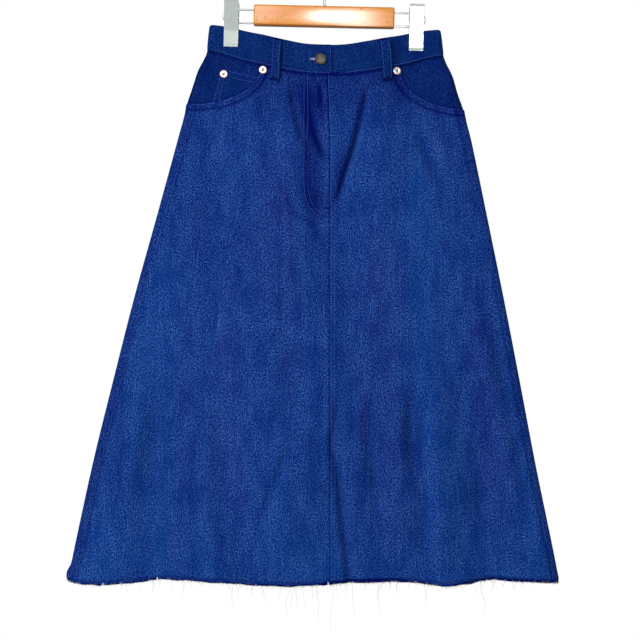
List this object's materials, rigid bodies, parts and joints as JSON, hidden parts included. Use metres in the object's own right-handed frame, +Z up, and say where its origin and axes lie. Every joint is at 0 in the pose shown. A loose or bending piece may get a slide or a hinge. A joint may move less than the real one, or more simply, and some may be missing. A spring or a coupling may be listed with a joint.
{
  "type": "denim skirt on a clip hanger",
  "caption": "Long A-line denim skirt with a raw fringed hem, button and zip fly, scoop pockets and belt loops, hung flat from the clips of a wooden bar hanger.",
  "frame": {"origin": "inside top of the hanger's hook, at the middle of its wire, where the hook rests on a rail", "axes": "+Z up along the hook's stem, the skirt's front towards -Y, +X towards the wearer's left, the side seams near y = 0"},
  "size_m": [0.6873, 0.0819, 0.9524],
  "materials": {
    "denim": "raw indigo twill, dry and matt",
    "frayed_edge": "raw cut edge with loose cream weft threads",
    "zip_tape": "woven cotton tape",
    "zip_metal": "plain moulded metal chain and slider",
    "button_brass": "antique finish, plain face",
    "rivet_copper": "bright copper ring with a darker centre",
    "hanger_wire": "plain bright wire",
    "clip_plate": "smooth plated sheet",
    "bar_wood": "orange-brown, clear gloss varnish"
  },
  "bodies": {
    "root": {"front_right": "denim", "front_left": "denim", "back_right": "denim", "back_left": "denim", "waistband_right": "denim", "waistband_left": "denim", "waistband_back": "denim", "pocket_facing_right": "denim", "pocket_facing_left": "denim", "coin_pocket": "denim", "fly_shield": "denim", "belt_loop_front_right": "denim", "belt_loop_front_left": "denim", "belt_loop_back_right": "denim", "belt_loop_back_middle": "denim", "belt_loop_back_left": "denim", "hem_front": "frayed_edge", "hem_back": "frayed_edge", "zip_tape": "zip_tape", "zip_chain": "zip_metal", "zip_slider": "zip_metal", "button": "button_brass", "rivet_right_pocket": "rivet_copper", "rivet_left_pocket": "rivet_copper", "rivet_coin_pocket": "rivet_copper", "hook": "hanger_wire", "bar": "bar_wood", "wire_loop_right": "hanger_wire", "wire_loop_left": "hanger_wire", "clip_spring_right": "hanger_wire", "clip_spring_left": "hanger_wire", "clip_front_right": "clip_plate", "clip_front_left": "clip_plate", "clip_back_right": "clip_plate", "clip_back_left": "clip_plate"}
  },
  "joints": []
}
